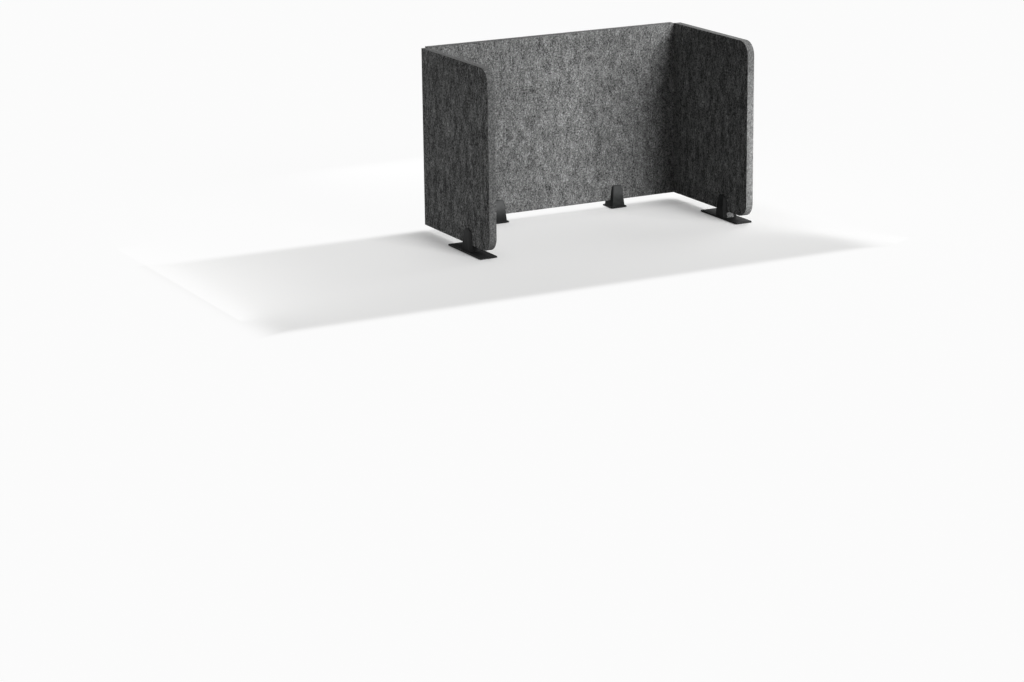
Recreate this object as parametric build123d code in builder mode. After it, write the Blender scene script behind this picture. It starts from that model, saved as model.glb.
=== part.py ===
"""Folding divider screen: three pressed felt panels on felt hinges, held upright by four clip-on feet.

Millimetres, +Z up. The origin is on the surface that the screen stands on, under the middle of
its footprint. The back panel stands on the +Y side, and the wings open towards the user at -Y.
"""
import os

from build123d import *

os.makedirs("parts", exist_ok=True)

# Felt panels
back_width = 800.0              # between the inner faces of the two wings
wing_depth = 400.0              # from the hinge line to a wing's front edge
panel_height = 505.0
felt_thickness = 22.0
front_corner_radius = 40.0      # a wing's front corners, top and bottom

# Felt hinges: a thin skin let into the inner faces, with the panels slit through behind it
hinge_slit = 0.5                # from the hinge line to each panel's square end
hinge_leg_width = 30.0
hinge_skin_thickness = 1.0

# Feet: where they grip the panels
wing_foot_from_front = 125.0    # a wing's front edge to the middle of its foot
back_left_foot_from_corner = 215.0      # the inner corner to the middle of the foot
back_right_foot_from_corner = 195.0

# Anti-slip pads under the foot plates
pad_thickness = 1.5
pad_inset = 4.0                 # a pad's edge to the plate's edge
wing_pad_length = 58.0
pad_corner_cut = 2.5            # along each side of a cut corner

# Foot plates
plate_thickness = 4.0
plate_depth = 53.0              # across the panel
wing_plate_length = 195.0       # along the panel
back_plate_length = 51.0
plate_corner_cut = 1.2          # along each side of a cut corner
plate_edge_chamfer = 0.8

# Clips: tapering jaws that grip a panel's lower edge
clip_base_width = 50.0          # along the panel, at the panel's faces
clip_top_width = 32.0
clip_base_depth = 46.6          # across the panel, both jaws and the slot
clip_top_depth = 33.2
clip_height = 62.0
clip_floor_height = 17.3        # from the plate to the bottom of the slot
jaw_corner_radius = 11.0
jaw_bulge = 1.2                 # how far a jaw's outer face bows out halfway up
jaw_bevel = 0.4                 # how much each side closes in per millimetre out from the panel
jaw_edge_chamfer = 0.8
slot_mouth_flare = 1.2          # how far each side of the slot opens out at its mouth
slot_mouth_height = 5.0
felt_clearance = 0.2            # felt to the grip ribs, and to the bottom of the slot
grip_rib_height = 0.7
grip_rib_width = 2.0
grip_rib_spacing = 8.0
grip_rib_count = 4
grip_rib_stop = 16.0            # from the top of a rib to the top of the jaws
clip_wall = 3.0
jaw_core_width = 22.0
jaw_core_stop = 16.0            # from the top of a jaw's core to the top of the jaws
boss_width = 8.4                # square, around each screw
web_thickness = 2.0

# Countersunk screws from under the plate into the clip's bosses
screw_spacing = 24.0
screw_shank_radius = 1.9
screw_head_radius = 3.9
screw_length = 14.0
screw_clearance = 0.05
screw_hole_spare = 2.0          # the hole's depth past the screw's tip
screw_socket_radius = 1.45      # across the corners of the hexagon
screw_socket_depth = 1.6
screw_head_angle = 90.0         # degrees

overrun = 1.0                   # how far cuts run past what they cut

# Heights above the surface that the feet stand on
plate_bottom = pad_thickness
plate_top = plate_bottom + plate_thickness
clip_top = plate_top + clip_height
slot_floor = plate_top + clip_floor_height
panel_bottom = slot_floor + felt_clearance
slot_width = felt_thickness + 2 * (grip_rib_height + felt_clearance)

# Places in plan
rear_reach = (felt_thickness + plate_depth) / 2     # from the hinge line to the back plates' rear edge
hinge_y = (wing_depth - rear_reach) / 2
hinge_x = back_width / 2
wing_middle_x = hinge_x + felt_thickness / 2
back_middle_y = hinge_y + felt_thickness / 2
wing_foot_y = hinge_y - wing_depth + wing_foot_from_front
back_left_foot_x = back_left_foot_from_corner - hinge_x
back_right_foot_x = hinge_x - back_right_foot_from_corner

# Each foot's own frame: X along its panel, Y across it, Z up, on the ground under the panel
foot_frames = {
    "left_foot": Plane(origin=(-wing_middle_x, wing_foot_y, 0), x_dir=(0, 1, 0), z_dir=(0, 0, 1)),
    "right_foot": Plane(origin=(wing_middle_x, wing_foot_y, 0), x_dir=(0, 1, 0), z_dir=(0, 0, 1)),
    "back_left_foot": Plane(origin=(back_left_foot_x, back_middle_y, 0), x_dir=(1, 0, 0), z_dir=(0, 0, 1)),
    "back_right_foot": Plane(origin=(back_right_foot_x, back_middle_y, 0), x_dir=(1, 0, 0), z_dir=(0, 0, 1)),
}


def write(part, name):
    """Label a finished piece and write it as its own file."""
    part.label = name
    export_step(part, f"parts/{name}.step")


def clip_width_at(height):
    """The clip's width along the panel at a height above the plate."""
    return clip_base_width + (clip_top_width - clip_base_width) * height / clip_height


def clip_depth_at(height):
    """The clip's depth across the panel at a height above the plate."""
    return clip_base_depth + (clip_top_depth - clip_base_depth) * height / clip_height


def hollow_section(height):
    """Corners of the clip's plan section at a height above the plate, inside its walls."""
    side = clip_width_at(height) / 2 - clip_wall
    depth = clip_depth_at(height) / 2 - clip_wall
    tip = side - jaw_bevel * (depth - felt_thickness / 2)
    quarter = [(side, felt_thickness / 2), (tip, depth)]
    half = quarter + [(-x, y) for x, y in reversed(quarter)]
    return half + [(-x, -y) for x, y in half]


# The back panel, with a shallow rebate for a hinge skin at each end of its inner face
with BuildPart() as back_panel:
    with BuildSketch(Plane.XY.offset(panel_bottom)):
        with Locations((0, back_middle_y)):
            Rectangle(back_width - 2 * hinge_slit, felt_thickness)
        with Locations((-hinge_x, hinge_y), (hinge_x, hinge_y)):
            Rectangle(2 * hinge_leg_width, 2 * hinge_skin_thickness, mode=Mode.SUBTRACT)
    extrude(amount=panel_height)
write(back_panel.part, "back_panel")


def make_wing(side):
    """A wing with rounded front corners and a rebate for the hinge skin: side is -1 left, 1 right."""
    front = hinge_y - wing_depth
    rear = hinge_y - hinge_slit
    with BuildPart() as wing:
        with BuildSketch(Plane.YZ.offset(side * hinge_x)):
            with Locations(((front + rear) / 2, panel_bottom + panel_height / 2)):
                Rectangle(rear - front, panel_height)
            fillet(vertices().group_by(Axis.X)[0], radius=front_corner_radius)
        extrude(amount=side * felt_thickness)
        with BuildSketch(Plane.XY.offset(panel_bottom)):
            with Locations((side * hinge_x, hinge_y)):
                Rectangle(2 * hinge_skin_thickness, 2 * hinge_leg_width)
        extrude(amount=panel_height, mode=Mode.SUBTRACT)
    return wing.part


for side, name in ((-1, "left_panel"), (1, "right_panel")):
    write(make_wing(side), name)


def make_hinge_strip(side):
    """The felt skin in an inner corner: a leg on the back panel and one on the wing, round at the turn."""
    with BuildPart() as strip:
        with BuildSketch(Plane.XY.offset(panel_bottom)):
            with Locations((side * hinge_x, hinge_y)):
                Circle(hinge_skin_thickness)
            with Locations((side * (hinge_x - hinge_leg_width / 2), hinge_y + hinge_skin_thickness / 2)):
                Rectangle(hinge_leg_width, hinge_skin_thickness)
            with Locations((side * (hinge_x + hinge_skin_thickness / 2), hinge_y - hinge_leg_width / 2)):
                Rectangle(hinge_skin_thickness, hinge_leg_width)
            inner_middle = (side * (hinge_x - hinge_leg_width / 2), hinge_y - hinge_leg_width / 2)
            with Locations(inner_middle):
                Rectangle(hinge_leg_width, hinge_leg_width, mode=Mode.SUBTRACT)
        extrude(amount=panel_height)
    return strip.part


for side, name in ((-1, "left_hinge_strip"), (1, "right_hinge_strip")):
    write(make_hinge_strip(side), name)


# The moulded clip in a foot's own frame. Its outer form is what three shapes have in common: the
# outline seen from in front of the panel, the profile seen from the panel's end, and a block whose
# sides close in from the panel's faces to the jaws' outer faces.
with BuildPart() as clip:
    with BuildSketch(Plane.XZ):
        with BuildLine():
            Polyline(
                (-clip_base_width / 2, plate_top),
                (clip_base_width / 2, plate_top),
                (clip_top_width / 2, clip_top),
                (-clip_top_width / 2, clip_top),
                close=True,
            )
        make_face()
        fillet(vertices().group_by(Axis.Y)[-1], radius=jaw_corner_radius)
    extrude(amount=clip_base_depth, both=True)

    with BuildSketch(Plane.YZ):
        with BuildLine():
            bulge_depth = clip_depth_at(clip_height / 2) / 2 + jaw_bulge
            bulge_level = plate_top + clip_height / 2
            Line((-clip_base_depth / 2, plate_top), (clip_base_depth / 2, plate_top))
            ThreePointArc(
                (clip_base_depth / 2, plate_top),
                (bulge_depth, bulge_level),
                (clip_top_depth / 2, clip_top),
            )
            Line((clip_top_depth / 2, clip_top), (-clip_top_depth / 2, clip_top))
            ThreePointArc(
                (-clip_top_depth / 2, clip_top),
                (-bulge_depth, bulge_level),
                (-clip_base_depth / 2, plate_top),
            )
        make_face()
    extrude(amount=clip_base_width, both=True, mode=Mode.INTERSECT)

    # The block's sections, at the plate and at the top: each side is one line out to the bevel's tip
    bevel_reach = clip_base_depth / 2 + overrun
    for level, half_width in ((plate_top, clip_base_width / 2), (clip_top, clip_top_width / 2)):
        tip_width = half_width - jaw_bevel * (bevel_reach - felt_thickness / 2)
        side_width = half_width + jaw_bevel * felt_thickness / 2
        with BuildSketch(Plane.XY.offset(level)):
            Polygon(
                (side_width, 0),
                (tip_width, bevel_reach),
                (-tip_width, bevel_reach),
                (-side_width, 0),
                (-tip_width, -bevel_reach),
                (tip_width, -bevel_reach),
                align=None,
            )
    loft(ruled=True, mode=Mode.INTERSECT)

    jaw_faces = clip.faces().sort_by(Axis.Y)
    base_edges = clip.edges().group_by(Axis.Z)[0]
    jaw_outline = [e for f in (jaw_faces[0], jaw_faces[-1]) for e in f.edges() if e not in base_edges]
    chamfer(jaw_outline, length=jaw_edge_chamfer)

    # The slot for the panel, with a flared mouth
    with BuildSketch(Plane.YZ):
        with BuildLine():
            Polyline(
                (-slot_width / 2, slot_floor),
                (slot_width / 2, slot_floor),
                (slot_width / 2, clip_top - slot_mouth_height),
                (slot_width / 2 + slot_mouth_flare, clip_top + overrun),
                (-slot_width / 2 - slot_mouth_flare, clip_top + overrun),
                (-slot_width / 2, clip_top - slot_mouth_height),
                close=True,
            )
        make_face()
    extrude(amount=clip_base_width, both=True, mode=Mode.SUBTRACT)

    # Upright ribs on the inner face of each jaw, which bite into the felt
    for jaw in (-1, 1):
        with BuildSketch(Plane.XY.offset(slot_floor)):
            with Locations((0, jaw * slot_width / 2)):
                with GridLocations(grip_rib_spacing, 0, grip_rib_count, 1):
                    Polygon(
                        (-grip_rib_width / 2, 0),
                        (grip_rib_width / 2, 0),
                        (0, -jaw * grip_rib_height),
                        align=None,
                    )
        extrude(amount=clip_top - grip_rib_stop - slot_floor)

    # The hollow underside
    floor_underside = clip_floor_height - clip_wall
    for level in (0, floor_underside):
        with BuildSketch(Plane.XY.offset(plate_top + level)):
            Polygon(*hollow_section(level), align=None)
    loft(ruled=True, mode=Mode.SUBTRACT)

    # A core up the inside of each jaw, from the hollow underside, following the jaw's outer face
    core_bottom = floor_underside - clip_wall
    core_top = clip_height - jaw_core_stop
    core_top_wall = clip_wall / 2
    for jaw in (-1, 1):
        with BuildSketch(Plane.YZ):
            with BuildLine():
                Polyline(
                    (jaw * (slot_width / 2 + clip_wall), plate_top + core_bottom),
                    (jaw * (clip_depth_at(core_bottom) / 2 - clip_wall), plate_top + core_bottom),
                    (jaw * (clip_depth_at(core_top) / 2 - core_top_wall), plate_top + core_top),
                    (jaw * (slot_width / 2 + core_top_wall), plate_top + core_top),
                    close=True,
                )
            make_face()
        extrude(amount=jaw_core_width / 2, both=True, mode=Mode.SUBTRACT)

    # Screw bosses and the webs between them
    with BuildSketch(Plane.XY.offset(plate_top)):
        with GridLocations(screw_spacing, 0, 2, 1):
            Rectangle(boss_width, boss_width)
        Rectangle(screw_spacing, web_thickness)
        Rectangle(web_thickness, clip_base_depth - 2 * clip_wall)
    extrude(amount=floor_underside + clip_wall / 2)
    with BuildSketch(Plane.XY.offset(plate_top)):
        with GridLocations(screw_spacing, 0, 2, 1):
            Circle(screw_shank_radius + screw_clearance)
    extrude(amount=screw_length - plate_thickness + screw_hole_spare, mode=Mode.SUBTRACT)


def make_plate(length):
    """A foot plate with countersunk holes from below."""
    with BuildPart() as plate:
        with BuildSketch(Plane.XY.offset(plate_bottom)):
            Rectangle(length, plate_depth)
            chamfer(vertices(), length=plate_corner_cut)
        extrude(amount=plate_thickness)
        chamfer(plate.faces().sort_by(Axis.Z)[-1].edges(), length=plate_edge_chamfer)
        with Locations(Plane(origin=(0, 0, plate_bottom), x_dir=(1, 0, 0), z_dir=(0, 0, -1))):
            with GridLocations(screw_spacing, 0, 2, 1):
                CounterSinkHole(
                    radius=screw_shank_radius + screw_clearance,
                    counter_sink_radius=screw_head_radius + screw_clearance,
                    depth=plate_thickness,
                    counter_sink_angle=screw_head_angle,
                )
    return plate.part


def make_pads(length, pad_length):
    """Anti-slip pads inside the plate's outline: one, or one at each end of a long plate."""
    pad_depth = plate_depth - 2 * pad_inset
    reach = length - 2 * pad_inset - pad_length
    places = [(0, 0)] if reach <= 0 else [(-reach / 2, 0), (reach / 2, 0)]
    with BuildPart() as pads:
        with BuildSketch(Plane.XY):
            with Locations(*places):
                Rectangle(pad_length, pad_depth)
            chamfer(vertices(), length=pad_corner_cut)
        extrude(amount=pad_thickness)
    return pads.part


# A countersunk screw with a hexagon socket, and the pair of them in one foot
head_height = screw_head_radius - screw_shank_radius
with BuildPart() as screw:
    with BuildSketch(Plane.XZ):
        with BuildLine():
            Polyline(
                (0, plate_bottom),
                (screw_head_radius, plate_bottom),
                (screw_shank_radius, plate_bottom + head_height),
                (screw_shank_radius, plate_bottom + screw_length),
                (0, plate_bottom + screw_length),
                close=True,
            )
        make_face()
    revolve(axis=Axis.Z)
    with BuildSketch(Plane.XY.offset(plate_bottom)):
        RegularPolygon(radius=screw_socket_radius, side_count=6)
    extrude(amount=screw_socket_depth, mode=Mode.SUBTRACT)
screw_places = (-screw_spacing / 2, screw_spacing / 2)
screw_pair = Compound([screw.part.moved(Location((x, 0, 0))) for x in screw_places])

for foot, frame in foot_frames.items():
    on_back = foot.startswith("back")
    plate_length = back_plate_length if on_back else wing_plate_length
    pad_length = back_plate_length - 2 * pad_inset if on_back else wing_pad_length
    place = frame.location
    write(clip.part.moved(place), f"{foot}_clip")
    write(make_plate(plate_length).moved(place), f"{foot}_plate")
    write(screw_pair.moved(place), f"{foot}_screws")
    write(make_pads(plate_length, pad_length).moved(place), f"{foot}_pads")
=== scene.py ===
# %% [markdown]
# A folding divider screen made of three pressed felt boards. Two wings hang on thin felt skins in
# the inner corners of the back panel, and four black feet grip the boards' lower edges. The solid
# model already holds every piece at its real size. This script gives the pieces their looks.

# %% Load the model
import math

import bpy
import numpy as np
from mathutils import Matrix, Vector


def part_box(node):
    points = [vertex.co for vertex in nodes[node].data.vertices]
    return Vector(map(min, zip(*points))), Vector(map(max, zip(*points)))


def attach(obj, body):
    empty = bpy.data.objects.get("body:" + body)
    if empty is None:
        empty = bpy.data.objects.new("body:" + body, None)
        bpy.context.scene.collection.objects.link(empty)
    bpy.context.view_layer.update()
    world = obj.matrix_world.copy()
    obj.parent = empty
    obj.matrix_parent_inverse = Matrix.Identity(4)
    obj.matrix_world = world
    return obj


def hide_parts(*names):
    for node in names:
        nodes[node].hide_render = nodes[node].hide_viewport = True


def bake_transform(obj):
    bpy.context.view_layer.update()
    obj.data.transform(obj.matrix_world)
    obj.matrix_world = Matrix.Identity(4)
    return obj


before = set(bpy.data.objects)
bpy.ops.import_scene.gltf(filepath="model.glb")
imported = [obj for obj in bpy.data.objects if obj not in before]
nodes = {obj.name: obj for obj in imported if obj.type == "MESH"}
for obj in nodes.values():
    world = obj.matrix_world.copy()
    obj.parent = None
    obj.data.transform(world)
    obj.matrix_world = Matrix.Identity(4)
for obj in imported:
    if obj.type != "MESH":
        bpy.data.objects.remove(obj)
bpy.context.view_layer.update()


def rounded(point):
    """A point's numbers to a tenth of a millimetre, for printing."""
    return [round(number, 4) for number in point]


# %% [markdown]
# The camera stands in front and to the left, a little above the top edge, with a long lens. Its
# place and angles were worked out from the straight edges of the boards in the photograph, so the
# picture lines up with it. The angles turn into three directions: forward, right and up.

# %% Camera
picture_width = 1024            # pixels
focal_length = 2847.1           # pixels
sensor_width = 36               # millimetres
camera_place = Vector((-3.8633, -6.9010, 1.8678))
camera_yaw = 0.48320            # radians from +Y towards +X
camera_pitch = 0.27150          # radians below the horizon
camera_roll = -0.01240
camera_sight = 100              # metres, and the floor ends before that


def camera_matrix(place, yaw, pitch, roll):
    """A camera's matrix: it looks along yaw and pitch, then rolls about its own line of sight."""
    forward = Vector((
        math.sin(yaw) * math.cos(pitch), math.cos(yaw) * math.cos(pitch), -math.sin(pitch),
    ))
    level = Vector((math.cos(yaw), -math.sin(yaw), 0))
    overhead = level.cross(forward)
    right = math.cos(roll) * level + math.sin(roll) * overhead
    up = math.cos(roll) * overhead - math.sin(roll) * level
    return Matrix.Translation(place) @ Matrix((right, up, -forward)).transposed().to_4x4()


camera_data = bpy.data.cameras.new("photo_camera")
camera_data.sensor_width = sensor_width
camera_data.lens = camera_data.sensor_width * focal_length / picture_width
camera_data.clip_end = camera_sight
camera = bpy.data.objects.new("photo_camera", camera_data)
camera.matrix_world = camera_matrix(camera_place, camera_yaw, camera_pitch, camera_roll)
bpy.context.scene.collection.objects.link(camera)
bpy.context.scene.camera = camera
print("lens", round(camera_data.lens, 1), "mm")

# %% [markdown]
# Every new piece is made of grids of points worked out with numpy. Pulling a cube into shape
# would work too, but a formula is easy to change, and it knows how far along and up the surface
# each point lies. One helper joins a grid's neighbours into four-sided faces. A grid can close on
# itself, as a band around a rim does. The other helper makes the mesh, and stores each point's
# place on the surface in metres, because the felt's pattern follows it.

# %% Grids into meshes
sharp_turn = math.radians(35)   # faces that meet at more than this keep a hard edge


def squares(numbers, closed=False):
    """Faces between neighbours in a grid of point numbers.

    Each face goes round its corners (i, j), (i, j+1), (i+1, j+1) and (i+1, j). In a closed grid
    the last column also joins the first.
    """
    if closed:
        numbers = np.concatenate([numbers, numbers[:, :1]], axis=1)
    corners = [numbers[:-1, :-1], numbers[:-1, 1:], numbers[1:, 1:], numbers[1:, :-1]]
    return np.stack(corners, axis=-1).reshape(-1, 4)


def make_piece(name, points, faces, surface, material, smooth=True):
    """A mesh object in place, from points in metres, faces by point number and surface (u, v)."""
    mesh = bpy.data.meshes.new(name)
    mesh.from_pydata(points.tolist(), [], faces.tolist())
    mesh.polygons.foreach_set("use_smooth", np.broadcast_to(smooth, len(faces)))
    mesh.set_sharp_from_angle(angle=sharp_turn)
    layer = mesh.uv_layers.new(name="felt_surface")
    layer.data.foreach_set("uv", surface[faces.ravel()].astype(np.float32).ravel())
    mesh.materials.append(material)
    piece = bpy.data.objects.new(name, mesh)
    bpy.context.scene.collection.objects.link(piece)
    return piece


print("faces in a grid of 3 by 4 points:", len(squares(np.arange(12).reshape(3, 4))))

# %% [markdown]
# A material is a set of shader nodes that feed each other. It is easier to read when one short
# function adds a node, sets its sockets and joins it to others. Every material below is built
# with that function, and with small ones for the sums that come back again and again.

# %% Helpers for materials
mix_sockets = {                 # numbers of a Mix node's two inputs and its output
    "FLOAT": (2, 3, 0),
    "RGBA": (6, 7, 2),
}


def new_material(name):
    """An empty material and its Principled shader."""
    material = bpy.data.materials.new(name)
    material.use_nodes = True
    return material, material.node_tree.nodes["Principled BSDF"]


def add(material, kind, sockets=None, **settings):
    """Add a node to a material or the world, with its settings.

    Each named or numbered socket gets a value, or a link from another node's output.
    """
    node = material.node_tree.nodes.new(kind)
    for key, value in settings.items():
        setattr(node, key, value)
    for key, value in (sockets or {}).items():
        if isinstance(value, bpy.types.NodeSocket):
            material.node_tree.links.new(value, node.inputs[key])
        else:
            node.inputs[key].default_value = value
    return node


def join(material, output, socket):
    """Link an output to a socket."""
    material.node_tree.links.new(output, socket)


def set_values(shader, values):
    """Give each named socket of the shader its number or colour."""
    for key, value in values.items():
        shader.inputs[key].default_value = value


def combine(material, operation, first, second, third=0.0):
    """One sum, product or other simple calculation on two or three numbers."""
    sockets = {0: first, 1: second, 2: third}
    return add(material, "ShaderNodeMath", sockets, operation=operation).outputs[0]


def scaled(material, colour, number):
    """A colour times a number."""
    sockets = {0: colour, "Scale": number}
    return add(material, "ShaderNodeVectorMath", sockets, operation="SCALE").outputs[0]


def mixed(material, kind, factor, first, second):
    """From the first number or colour to the second, as the factor goes from 0 to 1."""
    one, two, result = mix_sockets[kind]
    sockets = {"Factor": factor, one: first, two: second}
    return add(material, "ShaderNodeMix", sockets, data_type=kind).outputs[result]


def ramp(material, factor, low, high, to_low=0.0, to_high=1.0):
    """Stretch a factor: low becomes to_low and high becomes to_high, with smooth ends."""
    node = add(material, "ShaderNodeMapRange", {
        "Value": factor, "From Min": low, "From Max": high, "To Min": to_low, "To Max": to_high,
    }, interpolation_type="SMOOTHSTEP")
    return node.outputs["Result"]


def noise(material, place, character, dimensions="3D"):
    """The outputs of a noise at a place, whose character is its scale, detail and so on."""
    sockets = {"Vector": place, **character}
    return add(material, "ShaderNodeTexNoise", sockets, noise_dimensions=dimensions).outputs


print("kinds of mix:", ", ".join(mix_sockets))

# %% [markdown]
# Pressed felt is a mat of polyester fibres in black, grey and off-white, carded so that most of
# them lie upright on the boards. From a distance it looks like grain with soft upright streaks.
# Noise gives both: it is stretched more along the height than across, in three layers from fine
# grain to slow clouds. A picture of felt could be wrapped round the boards instead, but noise has
# no seams and never repeats. The wings' felt is livelier than the back's, with longer streaks.

# %% Grain and streaks
back_grains = (                 # width, height and strength of each layer
    (0.0036, 0.0044, 3.0),
    (0.0060, 0.0130, 1.5),
    (0.0240, 0.0420, 1.4),
)
wing_grains = (
    (0.0034, 0.0050, 4.4),
    (0.0056, 0.0170, 2.8),
    (0.0200, 0.0600, 2.2),
)
layer_noise = {"Scale": 1.0, "Detail": 1.5, "Roughness": 0.55, "Distortion": 0.5}
layer_shift = (3.1, 1.7)        # each layer's number moves its noise by so much
grain_number = 7                # number of the first layer of grain
noise_middle = 0.5
noise_spread = 0.13             # how far a layer of noise strays from its middle


def stretched_noise(material, surface, width, height, turn, number):
    """Noise from 0 to 1 whose spots are so wide and high, turned by some degrees."""
    turned = add(material, "ShaderNodeMapping", {
        "Vector": surface,
        "Location": (number * layer_shift[0], number * layer_shift[1], 0),
        "Rotation": (0, 0, math.radians(turn)),
        "Scale": (1 / width, 1 / height, 1),
    }, vector_type="POINT")
    return noise(material, turned.outputs["Vector"], layer_noise, "2D")["Fac"]


def weighted(material, layers, start):
    """The start value plus strength x (noise - middle) for each pair of noise and strength."""
    total = start
    for layer, strength in layers:
        centred = combine(material, "SUBTRACT", layer, noise_middle)
        total = combine(material, "MULTIPLY_ADD", centred, strength, total)
    return total


print("layers of grain:", len(back_grains), "on the back,", len(wing_grains), "on the wings")

# %% [markdown]
# Close up, single fibres show as fine lines that lie every way along the face. Real hairs would
# be far too many to model. Noise stretched along one direction draws lines too, and a few layers,
# each turned by another angle, look like a tangle. A wavy noise bends them first, so that no line
# is straight. The first two layers give the light fibres and the last two give the dark ones.

# %% Fibres
fibre_length = 0.0055
fibre_width = 0.00045
fibre_turns = (12, 57, 98, 151)  # degrees between each layer's direction and the face's length
light_fibres = (0.56, 0.74)     # the noise's value where a fibre starts, and where it is full
dark_fibres = (0.54, 0.74)
fibre_bend = 0.0022
bend_noise = {"Scale": 260.0, "Detail": 1.0}


def fibre_tangle(material, surface):
    """1 on a light fibre, -1 on a dark one and 0 between them."""
    bend = noise(material, surface, bend_noise, "2D")["Color"]
    centred = add(material, "ShaderNodeVectorMath", {
        0: bend, 1: (noise_middle, noise_middle, noise_middle),
    }, operation="SUBTRACT").outputs[0]
    bent = add(material, "ShaderNodeVectorMath", {
        0: centred, 1: (fibre_bend, fibre_bend, 0), 2: surface,
    }, operation="MULTIPLY_ADD").outputs[0]
    layers = [
        stretched_noise(material, bent, fibre_length, fibre_width, turn, number)
        for number, turn in enumerate(fibre_turns, 1)
    ]
    light = ramp(material, combine(material, "MAXIMUM", layers[0], layers[1]), *light_fibres)
    dark = ramp(material, combine(material, "MAXIMUM", layers[2], layers[3]), *dark_fibres)
    return combine(material, "SUBTRACT", light, dark)


print("layers of fibres:", len(fibre_turns))

# %% [markdown]
# The grain and the fibres add up to the tone of a board's face. Where the board is cut, the ends
# of the fibres show instead, a little darker and with small pores. That noise fills the felt's
# depth, so it needs no direction. Fibres and pores also stand out in a slight relief.

# %% Felt
felt_tone = (0.172, 0.174, 0.173)
fibre_strength = 0.45
pore_noise = {"Scale": 230.0, "Detail": 3.0, "Roughness": 0.6}
pore_strength = 3.2
edge_share = 0.79               # the cut edge's tone as a share of the face's
felt_relief = {"Strength": 0.5, "Distance": 0.0003}
felt_finish = {
    "Roughness": 0.95, "Specular IOR Level": 0.15, "Sheen Weight": 0.06, "Sheen Roughness": 0.6,
}


def felt_material(name, tone, grain_layers):
    """Felt: grain, streaks and fibres on the faces, and a plainer cut edge.

    With x for the sum of the noises, the colour is the tone times (1 + x / 2)^2, so that the dark
    spots are wider than the light ones. For noise of spread s that averages 1 + s^2 / 4, and x
    starts that much lower, so that livelier felt is no lighter. A share e of the tone is given by
    x = 2 sqrt(e) - 2.
    """
    material, shader = new_material(name)
    place = add(material, "ShaderNodeTexCoord").outputs["Object"]
    surface = add(material, "ShaderNodeUVMap", uv_map="felt_surface").outputs["UV"]
    cut_edge = add(material, "ShaderNodeAttribute", attribute_name="cut_edge").outputs["Fac"]

    fibres = fibre_tangle(material, surface)
    grains = [
        (stretched_noise(material, surface, width, height, 0, number), strength)
        for number, (width, height, strength) in enumerate(grain_layers, grain_number)
    ]
    spread = noise_spread * math.hypot(*(strength for _, strength in grains))
    start = combine(material, "MULTIPLY_ADD", fibres, fibre_strength, -spread ** 2 / 4)
    face = weighted(material, grains, start)
    pores = noise(material, place, pore_noise)["Fac"]
    edge = weighted(material, [(pores, pore_strength)], 2 * math.sqrt(edge_share) - 2)
    total = mixed(material, "FLOAT", cut_edge, face, edge)
    root = combine(material, "MULTIPLY_ADD", total, 0.5, 1.0)
    colour = scaled(material, tone, combine(material, "MULTIPLY", root, root))
    join(material, colour, shader.inputs["Base Color"])

    height = mixed(material, "FLOAT", cut_edge, fibres, pores)
    bump = add(material, "ShaderNodeBump", {"Height": height, **felt_relief})
    join(material, bump.outputs["Normal"], shader.inputs["Normal"])
    set_values(shader, felt_finish)
    return material


back_felt = felt_material("felt", felt_tone, back_grains)
wing_felt = felt_material("wing_felt", felt_tone, wing_grains)
print("felts:", back_felt.name, "and", wing_felt.name)

# %% [markdown]
# The feet's clips are moulded in black nylon, with the fine even grain that a mould leaves. The
# plates under them are steel with a powder coat, whose skin is slightly uneven, like the peel of
# an orange. Under the plates are rubber pads. The solid model has all their shapes, so they only
# need a finish. All are nearly black, so what shows is how they catch the light: roughness and
# bump do most of the work.

# %% Blacks with a grain
nylon_tone = (0.026, 0.027, 0.027)
powder_tone = (0.014, 0.0145, 0.0145)
rubber_tone = (0.02, 0.02, 0.02)
black_finishes = {              # name, tone, the grain's scale and depth, roughness, gloss level
    "clip": ("moulded_nylon", nylon_tone, 2600.0, 0.00006, 0.6, 0.0),
    "plate": ("powder_coat", powder_tone, 700.0, 0.00008, 0.6, 0.12),
    "pads": ("rubber", rubber_tone, 1500.0, 0.0001, 0.8, 0.3),
}
grain_detail = 2.0
grain_strength = 0.5
cloud_noise = {"Scale": 60.0, "Detail": 3.0}
usual_noise = (0.3, 0.7)        # nearly all of a noise's values lie between these
roughness_change = (-0.05, 0.06)
dusty_noise = (0.35, 0.75)      # between these values the black goes from clean to dusty
dusty_shades = (0.9, 1.25)


def grained_black(name, tone, grain_scale, grain_depth, roughness, gloss_level):
    """Black with an even grain: fine noise as bump, and slow noise that varies gloss and tone."""
    material, shader = new_material(name)
    place = add(material, "ShaderNodeTexCoord").outputs["Object"]
    grain = noise(material, place, {"Scale": grain_scale, "Detail": grain_detail})["Fac"]
    clouds = noise(material, place, cloud_noise)["Fac"]
    bump = add(material, "ShaderNodeBump", {
        "Height": grain, "Strength": grain_strength, "Distance": grain_depth,
    })
    join(material, bump.outputs["Normal"], shader.inputs["Normal"])
    roughnesses = [roughness + change for change in roughness_change]
    rough = ramp(material, clouds, *usual_noise, *roughnesses)
    join(material, rough, shader.inputs["Roughness"])
    dust = ramp(material, clouds, *dusty_noise, *dusty_shades)
    join(material, scaled(material, tone, dust), shader.inputs["Base Color"])
    shader.inputs["Specular IOR Level"].default_value = gloss_level
    return material


foot_materials = {kind: grained_black(*finish) for kind, finish in black_finishes.items()}
print("blacks:", ", ".join(material.name for material in foot_materials.values()))
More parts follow.
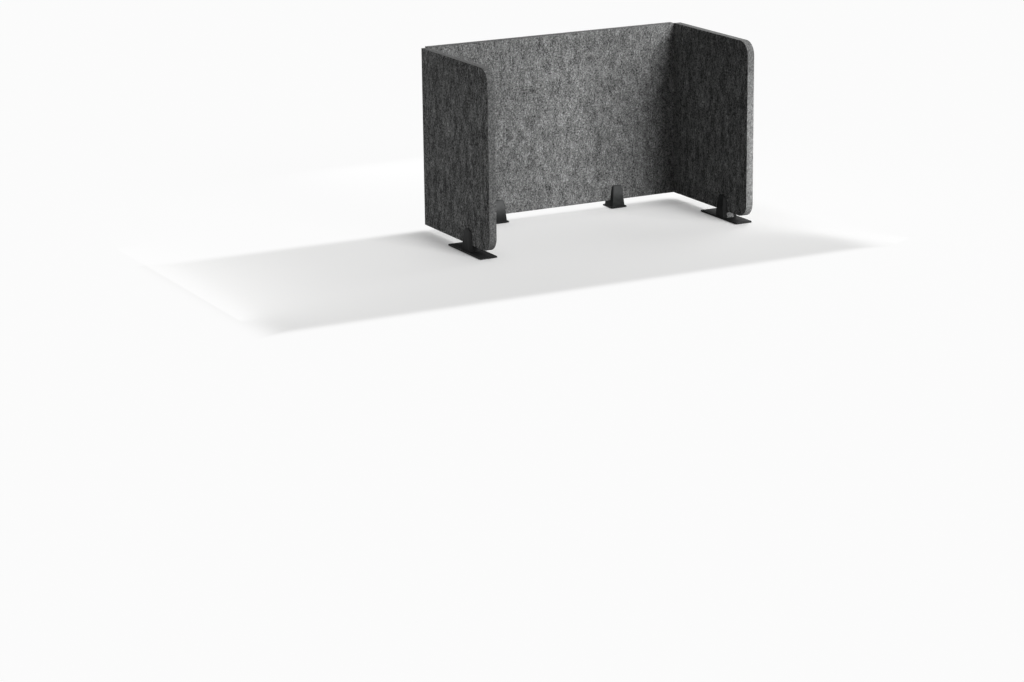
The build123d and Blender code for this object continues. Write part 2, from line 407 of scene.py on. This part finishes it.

# %% [markdown]
# The clips' faces lean back towards their tips. A wide bump adds to that lean, so the tips catch
# the key lamp and shine softly. The nylon's colour is also painted darker towards the feet, as
# painted shade, and lighter towards the tips, as a painted highlight, so the feet stay black. A
# rounder solid would shine like that too, but it would change the clips' outline. The shine itself
# is a thin coat over the grain, without which a black as deep as this would look like soot.

# %% Moulded nylon
# Painted shade and highlight: the nylon's colour is scaled from darker near the ground to lighter
# near the tips.
nylon_painted_light_heights = (0.004, 0.062)  # the shade goes from darker to lighter between these
nylon_painted_light_shades = (0.4, 1.7)
nylon_coat = {"Coat Weight": 0.11, "Coat IOR": 2.0, "Coat Roughness": 0.34}
crown_start = 0.015             # height above the ground where a clip's faces begin to lean back
crown_curve = 3.0               # per metre: the faces' extra lean grows evenly with height


def moulded(material):
    """A thin even gloss, faces that lean back with height, painted shade low and highlight high.

    The lean is a bump of height -c (z - z0)^2, whose slope is -2c (z - z0).
    """
    shader = material.node_tree.nodes["Principled BSDF"]
    grain_bump = shader.inputs["Normal"].links[0].from_node
    join(material, grain_bump.outputs["Normal"], shader.inputs["Coat Normal"])
    set_values(shader, nylon_coat)

    place = add(material, "ShaderNodeTexCoord").outputs["Object"]
    height = add(material, "ShaderNodeSeparateXYZ", {0: place}).outputs["Z"]
    rise = combine(material, "SUBTRACT", height, crown_start)
    above = combine(material, "MAXIMUM", rise, 0.0)
    square = combine(material, "MULTIPLY", above, above)
    fall = combine(material, "MULTIPLY", square, -crown_curve)
    lean = add(material, "ShaderNodeBump", {"Height": fall, "Strength": 1.0, "Distance": 1.0})
    join(material, lean.outputs["Normal"], grain_bump.inputs["Normal"])

    # Painted shade low on the clip and a painted highlight near its tips, scaled into the colour.
    shade = ramp(material, height, *nylon_painted_light_heights, *nylon_painted_light_shades)
    black = shader.inputs["Base Color"].links[0].from_socket
    join(material, scaled(material, black, shade), shader.inputs["Base Color"])


moulded(foot_materials["clip"])
print("nylon leans back from", crown_start, "m up")

# %% [markdown]
# The screws come up through the plates from below, where they are seldom seen: bright metal whose
# gloss varies a little is enough. Each finish then goes onto the solid pieces whose names end in
# its word.

# %% Zinc, and the finishes on the feet
zinc_tone = (0.55, 0.55, 0.57, 1)
zinc_noise = {"Scale": 1400.0, "Detail": 2.0}
zinc_roughness = (0.28, 0.42)


def zinc_material():
    """Bright zinc plate: metal whose roughness varies finely."""
    material, shader = new_material("zinc_plate")
    place = add(material, "ShaderNodeTexCoord").outputs["Object"]
    marks = noise(material, place, zinc_noise)["Fac"]
    rough = ramp(material, marks, *usual_noise, *zinc_roughness)
    join(material, rough, shader.inputs["Roughness"])
    set_values(shader, {"Base Color": zinc_tone, "Metallic": 1.0})
    return material


foot_materials["screws"] = zinc_material()
for name, node in nodes.items():
    kind = name.rsplit("_", 1)[1]
    if kind in foot_materials:
        node.data.materials.clear()
        node.data.materials.append(foot_materials[kind])
print("finished feet:", sum(name.endswith("_clip") for name in nodes))

# %% [markdown]
# A board is a flat box with softly rounded rims. A bevel would round a plain box too, but here
# the felt needs to know its faces from its cut edges, so the board is drawn point by point. Its
# face is a grid. Each row lies at one height and ends at the board's front outline, so rounded
# front corners come out by themselves: their rows go by equal angles around a quarter circle.
# Each row end also knows which way is out.

# %% The front end of a board's rows
corner_steps = 24


def front_corner(radius):
    """Rows of the bottom front corner, upwards: height, pull-back from the front, outward (u, v).

    A quarter circle at angle a has height r (1 - cos a), pull-back r (1 - sin a) and points out
    along (sin a, -cos a). A square corner is one row that points out along both sides at once.
    """
    if radius <= 0:
        return np.array([[0, 0, 1, -1]])
    a = np.linspace(0, math.pi / 2, corner_steps + 1)
    heights, pulls = radius * (1 - np.cos(a)), radius * (1 - np.sin(a))
    return np.stack([heights, pulls, np.sin(a), -np.cos(a)], axis=1)


def front_rows(height, radius):
    """All rows from bottom to top. The top corner is the bottom one mirrored in height."""
    lower = front_corner(radius)
    upper = lower[::-1] * (-1, 1, 1, -1) + (height, 0, 0, 0)
    return np.concatenate([lower, upper])


print("rows of a rounded board:", len(front_rows(0.5, 0.04)))

# %% [markdown]
# The face's columns run from the hinged end to the front. Where a hinge skin lies in the face, the
# felt steps back a millimetre, so two columns close together stand at each such step. The face
# ends a rim's radius short of the board's outline all round.

# %% A board's face
rim_radius = 0.0009
skin_thickness = 0.001
skin_width = 0.030
skin_play = 0.0002              # the step in the felt around the skin


def face_grid(length, height, radius, skins):
    """A face's u and v, how deep it is sunk for the skins, and outward u and v on its border."""
    lifts, pulls, front_u, front_v = front_rows(height - 2 * rim_radius, radius - rim_radius).T
    columns = [(rim_radius, 1), (skin_width, 1), (skin_width + skin_play, 0)]
    if skins == 2:
        columns += [(length - skin_width - skin_play, 0), (length - skin_width, 1)]
    fixed = np.broadcast_to(np.array(columns)[:, 0], (len(lifts), len(columns)))
    u = np.concatenate([fixed, (length - rim_radius - pulls)[:, None]], axis=1)
    v = np.broadcast_to(rim_radius + lifts[:, None], u.shape)
    steps = skin_thickness * np.array([deep for _, deep in columns] + [skins == 2])
    sunk = np.broadcast_to(steps, u.shape)

    out_u, out_v = np.zeros(u.shape), np.zeros(u.shape)
    out_v[0], out_v[-1], out_u[:, 0] = -1, 1, -1
    out_u[:, -1], out_v[:, -1] = front_u, front_v
    return u, v, sunk, out_u, out_v


print("the back's face is a grid of", face_grid(0.8, 0.5, 0, 2)[0].shape, "points")

# %% [markdown]
# The rim is a band that follows the face's border all the way round: a quarter round, the flat cut
# edge, and another quarter round down to the other face. An attribute called cut_edge grows from
# 0 on the faces to 1 on the cut edge, and the felt's material reads it.

# %% From a face to a whole board
rim_steps = 4


def around(table):
    """The values on the border of a table, once round it: bottom, front, top, rear."""
    return np.concatenate([table[0, :-1], table[:-1, -1], table[-1, :0:-1], table[:0:-1, 0]])


def rim_band(u, v, sunk, out_u, out_v, thickness):
    """The band's u, v and depth w, and how far each turn reaches outwards.

    At turn t it is the border + outward r sin t at the depth r (1 - cos t), and the same again
    from the outer face.
    """
    turn = np.linspace(0, math.pi / 2, rim_steps + 1)[:, None]
    reach = rim_radius * np.concatenate([np.sin(turn[1:]), np.cos(turn[:-1])])
    from_inner = around(sunk) + rim_radius * (1 - np.cos(turn[1:]))
    from_outer = thickness - rim_radius * (1 - np.sin(turn[:-1])) + np.zeros_like(around(u))
    band_u = around(u) + reach * around(out_u)
    band_v = around(v) + reach * around(out_v)
    return band_u, band_v, np.concatenate([from_inner, from_outer]), reach


def make_board(name, start, along, across, length, height, thickness, felt, radius=0, skins=1):
    """A felt board from its hinged end, at start, along u, up v, and across w to its outer face."""
    u, v, sunk, out_u, out_v = face_grid(length, height, radius, skins)
    band_u, band_v, band_w, reach = rim_band(u, v, sunk, out_u, out_v, thickness)

    number = np.arange(u.size).reshape(u.shape)
    band_number = 2 * u.size + np.arange(band_u.size).reshape(band_u.shape)
    band = np.vstack([around(number), band_number, around(number) + u.size])
    faces = [squares(number)[:, ::-1], squares(number + u.size), squares(band, closed=True)]
    if np.cross(along, (0, 0, 1)) @ across < 0:
        faces = [part[:, ::-1] for part in faces]
    is_rim = np.arange(sum(map(len, faces))) >= 2 * len(faces[0])

    surface = np.column_stack([
        np.concatenate([grid.ravel() for grid in grids])
        for grids in ((u, u, band_u), (v, v, band_v))
    ])
    depth = np.concatenate([sunk.ravel(), np.full(u.size, thickness), band_w.ravel()])
    points = np.array(start) + surface[:, :1] * along + surface[:, 1:] * (0, 0, 1)
    points = points + depth[:, None] * across
    board = make_piece(name, points, np.concatenate(faces), surface, felt, smooth=is_rim)

    rim_cut = np.broadcast_to(reach / rim_radius, band_u.shape)
    cut = np.concatenate([np.zeros(2 * u.size), rim_cut.ravel()])
    attribute = board.data.attributes.new("cut_edge", "FLOAT", "POINT")
    attribute.data.foreach_set("value", cut.astype(np.float32))
    return board


print("rows in a rim's band:", 2 * rim_steps)

# %% [markdown]
# Each board takes its place and size from the solid piece that it stands in for. The back panel
# runs from left to right with a skin at both ends. Each wing runs forward from its hinge.

# %% The three boards
low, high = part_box("back_panel")
panel_width, panel_thickness, panel_height = high - low
back_board = make_board(
    "back_board", low, (1, 0, 0), (0, 1, 0),
    panel_width, panel_height, panel_thickness, back_felt, skins=2,
)
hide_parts("back_panel")
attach(back_board, "back")

wing_radius = 0.040             # of both front corners
for side, word in ((-1, "left"), (1, "right")):
    low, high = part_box(f"{word}_panel")
    inner_face = high.x if side < 0 else low.x
    wing_board = make_board(
        f"{word}_board", (inner_face, high.y, low.z), (0, -1, 0), (side, 0, 0),
        high.y - low.y, panel_height, panel_thickness, wing_felt, wing_radius,
    )
    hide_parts(f"{word}_panel")
    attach(wing_board, f"{word}_wing")
print("boards", round(panel_height, 4), "high and", round(panel_thickness, 4), "thick")

# %% [markdown]
# A hinge skin is a ribbon of thin felt that lines the inner corner. Both legs are glued into the
# boards, and only the turn between them bends when the wing folds. The solid strip has too few
# points there to bend smoothly, so a ribbon with more takes its place. It is a path with a front
# and a back, carried up the height of the board.

# %% A hinge skin
skin_turn = 0.0006              # inner radius of the turn
turn_points = 7
bend_zone = 0.0025              # how far along each leg the bend reaches
bend_points = 8                 # along one leg's part of the bend


def make_skin(name, corner, side, height, felt):
    """The front path runs in along one leg, round a quarter circle and out along the other.

    With the legs' directions p and q, the circle's centre is c = corner + r (p + q), the front is
    c - r (p sin a + q cos a), and the back path is the front moved outwards by the thickness.
    """
    p, q = np.array([(-side, 0), (0, -1)])[::-side]
    a = np.linspace(0, math.pi / 2, turn_points)[:, None]
    outward = -(p * np.sin(a) + q * np.cos(a))
    turn = skin_turn * (p + q + outward)
    bend = np.linspace(bend_zone, skin_turn, bend_points)[:-1]
    leg = np.append(skin_width, bend)[:, None]
    front = np.concatenate([leg * p, turn, leg[::-1] * q])
    outward = np.concatenate([0 * leg - q, outward, 0 * leg - p])
    back = front + skin_thickness * outward
    section = np.concatenate([front, back[::-1]]) + np.array(corner[:2])

    bottom = np.column_stack([section, np.full(len(section), corner[2])])
    points = np.concatenate([bottom, bottom + (0, 0, height)])
    number = np.arange(len(points)).reshape(2, -1)
    cap = np.stack([number[:, :len(front)], number[:, :len(front) - 1:-1]])
    sides = squares(number, closed=True)[:, ::-1]
    faces = np.concatenate([sides, squares(cap[:, 0]), squares(cap[::-1, 1])])
    steps = np.linalg.norm(np.diff(front, axis=0), axis=1)
    length = np.concatenate([[0], np.cumsum(steps)])
    surface = np.column_stack([np.tile(np.append(length, length[::-1]), 2), points[:, 2]])
    return make_piece(name, points, faces, surface, felt)


print("points along a skin:", 2 * bend_points + turn_points)

# %% Hinge skins in place
hinge_felt = felt_material("hinge_felt", felt_tone, back_grains)
for side, word in ((-1, "left"), (1, "right")):
    low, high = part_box(f"{word}_hinge_strip")
    outer_corner = Vector((low.x if side < 0 else high.x, high.y, low.z))
    corner = outer_corner + Vector((-side, -1, 0)) * skin_thickness
    skin = make_skin(f"{word}_hinge_skin", corner, side, high.z - low.z, hinge_felt)
    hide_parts(f"{word}_hinge_strip")
    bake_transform(skin)
    print(skin.name, "at", rounded(corner))

# %% [markdown]
# The floor is one large plane. To the camera, and in reflections, it is pale: a light grey pool
# with soft straight sides under the screen and in front of it, and white all round. Part of that
# paleness glows by itself, which keeps the screen's shadow light. Close to a piece the grey glows
# less, so that the feet have dark contact shadows and stand firmly. The floor throws less light
# back at the screen than white paper would, so that the felt's shaded sides stay dark.

# %% Floor
floor_reach = 60.0
floor_grey = (0.94, 0.94, 0.935, 1)
floor_white = (0.985, 0.985, 0.985, 1)
floor_bounce = (0.26, 0.26, 0.26, 1)
grey_glow = 0.43                # share of the floor's look that glows, in the grey pool
white_glow = 0.96               # and outside it
contact_reach = 0.09            # a piece nearer than this to the grey floor takes glow away
contact_samples = 4
pool_middle = (-0.33, -0.20, 0)
pool_size = (0.80, 0.36, 1)     # half its length and half its depth
pool_fade = 1.22                # the grey has gone at this many times its half size


def seen_ray(owner):
    """1 for the rays that show a surface: from the camera, in a reflection, or through glass."""
    path = add(owner, "ShaderNodeLightPath").outputs
    bent = combine(owner, "MAXIMUM", path["Is Glossy Ray"], path["Is Transmission Ray"])
    return combine(owner, "MAXIMUM", path["Is Camera Ray"], bent)


def outside_pool(material):
    """0 in the grey pool and 1 outside it: the larger of |x| / a and |y| / b from its middle."""
    place = add(material, "ShaderNodeTexCoord").outputs["Object"]
    steps = {"SUBTRACT": pool_middle, "DIVIDE": pool_size, "ABSOLUTE": (0, 0, 0)}
    for operation, value in steps.items():
        sockets = {0: place, 1: value}
        place = add(material, "ShaderNodeVectorMath", sockets, operation=operation).outputs[0]
    apart = add(material, "ShaderNodeSeparateXYZ", {0: place}).outputs
    return ramp(material, combine(material, "MAXIMUM", apart["X"], apart["Y"]), 1.0, pool_fade)


def floor_material():
    """Pale for the rays that show it, and a darker matt grey for the light it throws back."""
    material, shader = new_material("pale_floor")
    material.node_tree.nodes.remove(shader)
    whiteness = outside_pool(material)
    colour = mixed(material, "RGBA", whiteness, floor_grey, floor_white)
    lit = add(material, "ShaderNodeBsdfDiffuse", {"Color": colour}).outputs[0]
    glow = add(material, "ShaderNodeEmission", {"Color": colour}).outputs[0]

    contact = add(material, "ShaderNodeAmbientOcclusion", {
        "Distance": contact_reach,
    }, samples=contact_samples).outputs["AO"]
    near_glow = combine(material, "MULTIPLY", contact, grey_glow)
    glow_share = ramp(material, whiteness, 0.0, 1.0, near_glow, white_glow)
    pale = add(material, "ShaderNodeMixShader", {0: glow_share, 1: lit, 2: glow}).outputs[0]

    bounce = add(material, "ShaderNodeBsdfDiffuse", {"Color": floor_bounce}).outputs[0]
    sockets = {0: seen_ray(material), 1: bounce, 2: pale}
    surface = add(material, "ShaderNodeMixShader", sockets).outputs[0]
    join(material, surface, material.node_tree.nodes["Material Output"].inputs["Surface"])
    return material


corners = np.array([(-1, -1, 0), (1, -1, 0), (1, 1, 0), (-1, 1, 0)]) * floor_reach
floor = make_piece(
    "floor", corners, np.arange(4).reshape(1, 4), corners[:, :2], floor_material()
)
print("floor", 2 * floor_reach, "m wide")

# %% [markdown]
# The key is a sun lamp with a wide disc, which stands for a large soft lamp far off, in front and
# to the right. It lights the back panel and lays the right wing's soft shadow across it. Two weak
# suns, from the front and from overhead, soften that shadow and reach the floor. Soft boxes do the
# rest close by, because their light fades with distance: one for the left wing's outer face, one
# for the right wing's top, a strip for its front edge, and one for the back. So each face gets its
# own tone, as in the photograph, and the right wing's inner face stays the darkest.

# %% Lamps
suns = (                        # name, direction it comes from, energy and disc angle in degrees
    ("key", (0.27, -1.0, 0.5), 2.45, 21),
    ("front", (-0.1, -1.0, 0.3), 0.18, 40),
    ("overhead", (0.15, -0.05, 1.0), 0.40, 30),
)
soft_boxes = (                  # name, place, point it faces, energy, width, height, beam angle
    ("left_box", (-1.25, 0.0, 0.22), (-0.42, 0.0, 0.22), 1.25, 0.9, 0.44, 180),
    ("right_box", (0.75, -0.1, 0.85), (0.41, 0.0, 0.52), 2.1, 0.3, 0.3, 180),
    ("edge_strip", (0.68, -0.59, 0.22), (0.50, -0.22, 0.22), 0.8, 0.08, 0.45, 60),
    ("rear_box", (0.0, 1.1, 0.35), (0.0, 0.2, 0.25), 4.8, 0.7, 0.5, 180),
)


def aimed(name, kind, place, aim, **settings):
    """A lamp of a kind, at a place and facing a point, with its own settings."""
    lamp_data = bpy.data.lights.new(name, kind)
    for key, value in settings.items():
        setattr(lamp_data, key, value)
    lamp = bpy.data.objects.new(name, lamp_data)
    facing = (Vector(aim) - Vector(place)).to_track_quat("-Z", "Y").to_matrix().to_4x4()
    lamp.matrix_world = Matrix.Translation(place) @ facing
    bpy.context.scene.collection.objects.link(lamp)
    return lamp


for name, direction, energy, disc in suns:
    aimed(name, "SUN", direction, (0, 0, 0), energy=energy, angle=math.radians(disc))
for name, place, aim, energy, width, height, beam in soft_boxes:
    box = aimed(
        name, "AREA", place, aim, energy=energy,
        shape="RECTANGLE", size=width, size_y=height, spread=math.radians(beam),
    )
    box.visible_camera = False
print("lamps:", len(suns) + len(soft_boxes))

# %% [markdown]
# The world is white for the rays that show it, as the floor far off is, so no horizon can be seen.
# As a light it is weak: it only lifts the deepest shadows a little.

# %% World
seen_level = 1.0
world_level = 0.05
world = bpy.data.worlds.new("studio")
world.use_nodes = True
background = world.node_tree.nodes["Background"]
background.inputs["Color"].default_value = (1, 1, 1, 1)
level = ramp(world, seen_ray(world), 0, 1, world_level, seen_level)
join(world, level, background.inputs["Strength"])
bpy.context.scene.world = world
print("world level", world_level)

# %% [markdown]
# Last comes the plain view transform.

# %% Finish
bpy.context.scene.view_settings.view_transform = "Standard"
